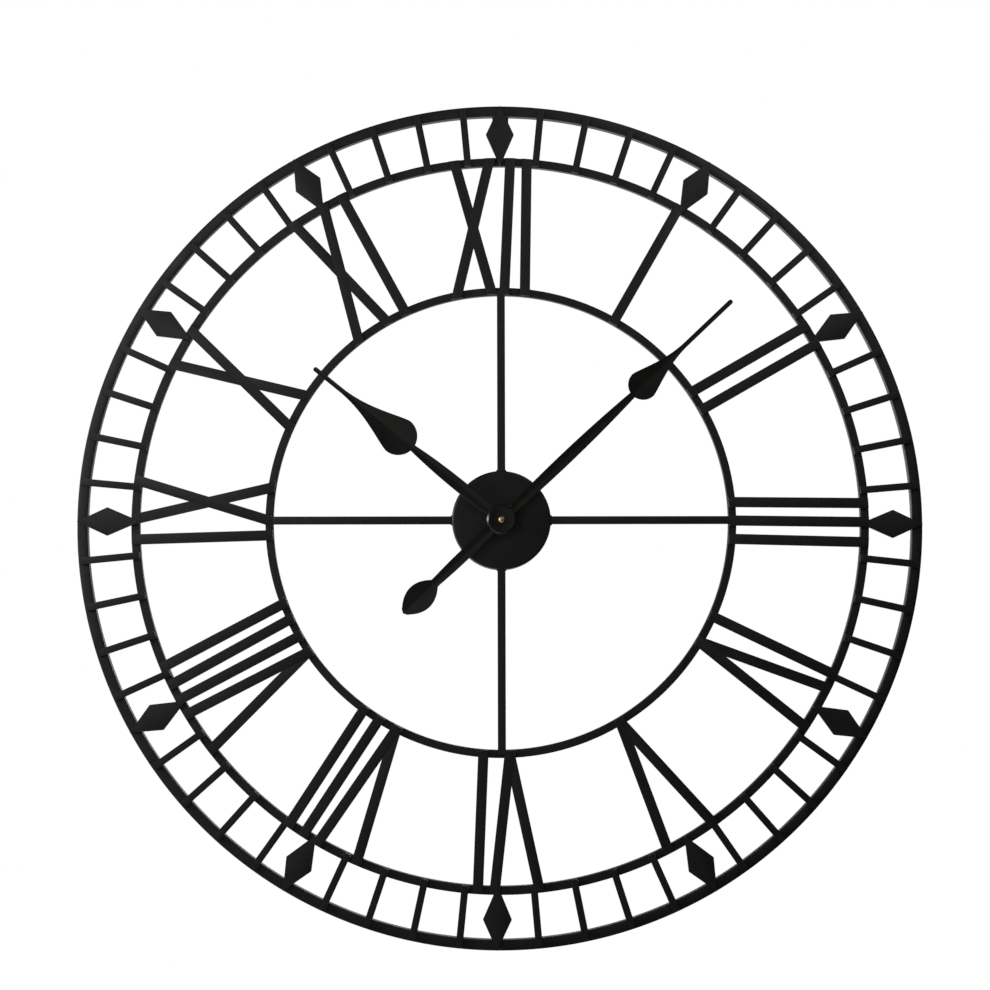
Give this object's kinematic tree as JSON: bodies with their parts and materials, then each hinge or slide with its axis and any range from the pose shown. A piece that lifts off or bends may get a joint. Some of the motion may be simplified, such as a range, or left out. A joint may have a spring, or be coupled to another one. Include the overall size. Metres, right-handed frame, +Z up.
{
  "type": "wall clock",
  "caption": "Large skeleton wall clock: black steel rings, roman numerals and diamond marks welded from flat bar, two spade hands on a battery quartz movement in a round cup.",
  "frame": {"origin": "centre of the hanging hole in the bracket behind twelve o'clock, on the wall plane", "axes": "+Z up, +Y into the wall, -Y the way the dial looks, +X towards three o'clock"},
  "size_m": [0.7999, 0.0396, 0.8],
  "materials": {
    "black_steel": "satin black powder coat",
    "black_hands": "satin black paint",
    "brass": "polished",
    "black_plastic": "moulded, fine texture",
    "white_plastic": "moulded acetal",
    "bright_steel": "plated",
    "black_rubber": "matte",
    "battery_label": "printed sleeve",
    "copper_wire": "enamelled wire",
    "green_board": "solder mask"
  },
  "bodies": {
    "clock_frame": {"outer_ring": "black_steel", "chapter_ring": "black_steel", "inner_ring": "black_steel", "minute_bars": "black_steel", "diamonds": "black_steel", "numeral_i": "black_steel", "numeral_ii": "black_steel", "numeral_iii": "black_steel", "numeral_iv": "black_steel", "numeral_v": "black_steel", "numeral_vi": "black_steel", "numeral_vii": "black_steel", "numeral_viii": "black_steel", "numeral_ix": "black_steel", "numeral_x": "black_steel", "numeral_xi": "black_steel", "numeral_xii": "black_steel", "spokes": "black_steel", "centre_cup": "black_steel", "hanging_bracket": "black_steel", "gasket": "black_rubber", "washer": "bright_steel", "hex_nut": "brass", "threaded_bush": "brass", "case_front": "black_plastic", "case_back": "black_plastic", "battery": "battery_label", "contact_positive": "bright_steel", "contact_negative": "bright_steel", "circuit_board": "green_board", "chip": "black_plastic", "quartz_crystal": "bright_steel", "stator": "bright_steel", "coil_bobbin": "white_plastic", "coil_winding": "copper_wire"},
    "minute_hand": {"minute_hand": "black_hands", "minute_collet": "brass", "minute_arbor": "bright_steel", "cap_nut": "brass"},
    "hour_hand": {"hour_hand": "black_hands", "hour_collet": "brass", "hour_wheel": "white_plastic"},
    "minute_wheel": {"minute_wheel": "white_plastic"},
    "setting_knob": {"setting_arbor": "white_plastic", "setting_knob": "black_plastic"},
    "centre_wheel": {"centre_wheel": "white_plastic"},
    "third_wheel": {"third_wheel": "white_plastic"},
    "intermediate_wheel": {"intermediate_wheel": "white_plastic"},
    "rotor": {"rotor_magnet": "bright_steel", "rotor_pinion": "white_plastic"}
  },
  "joints": [
    {"name": "minute_hand_turn", "type": "hinge", "parent": "clock_frame", "child": "minute_hand", "pos_m": [0, 0, -0.374], "axis": [0, 1, 0], "continuous": true},
    {"name": "hour_hand_turn", "type": "hinge", "parent": "clock_frame", "child": "hour_hand", "pos_m": [0, 0, -0.374], "axis": [0, 1, 0], "continuous": true},
    {"name": "minute_wheel_turn", "type": "hinge", "parent": "clock_frame", "child": "minute_wheel", "pos_m": [0.00911, 0, -0.37068], "axis": [0, 1, 0], "continuous": true},
    {"name": "setting_knob_turn", "type": "hinge", "parent": "clock_frame", "child": "setting_knob", "pos_m": [0.01597, 0, -0.36382], "axis": [0, 1, 0], "continuous": true},
    {"name": "rotor_turn", "type": "hinge", "parent": "clock_frame", "child": "rotor", "pos_m": [0.00408, 0, -0.35815], "axis": [0, 1, 0], "continuous": true},
    {"name": "intermediate_wheel_turn", "type": "hinge", "parent": "clock_frame", "child": "intermediate_wheel", "pos_m": [-0.00429, 0, -0.35963], "axis": [0, 1, 0], "continuous": true},
    {"name": "third_wheel_turn", "type": "hinge", "parent": "clock_frame", "child": "third_wheel", "pos_m": [-0.00944, 0, -0.36855], "axis": [0, 1, 0], "continuous": true},
    {"name": "centre_wheel_turn", "type": "hinge", "parent": "clock_frame", "child": "centre_wheel", "pos_m": [0, 0, -0.374], "axis": [0, 1, 0], "continuous": true}
  ],
  "couplings": [
    {"joint": "hour_hand_turn", "follows": "minute_hand_turn", "ratio": 0.083333},
    {"joint": "minute_wheel_turn", "follows": "minute_hand_turn", "ratio": -0.33333},
    {"joint": "setting_knob_turn", "follows": "minute_hand_turn", "ratio": 1},
    {"joint": "intermediate_wheel_turn", "follows": "rotor_turn", "ratio": -0.16667},
    {"joint": "third_wheel_turn", "follows": "rotor_turn", "ratio": 0.022222},
    {"joint": "centre_wheel_turn", "follows": "rotor_turn", "ratio": -0.0027778}
  ]
}
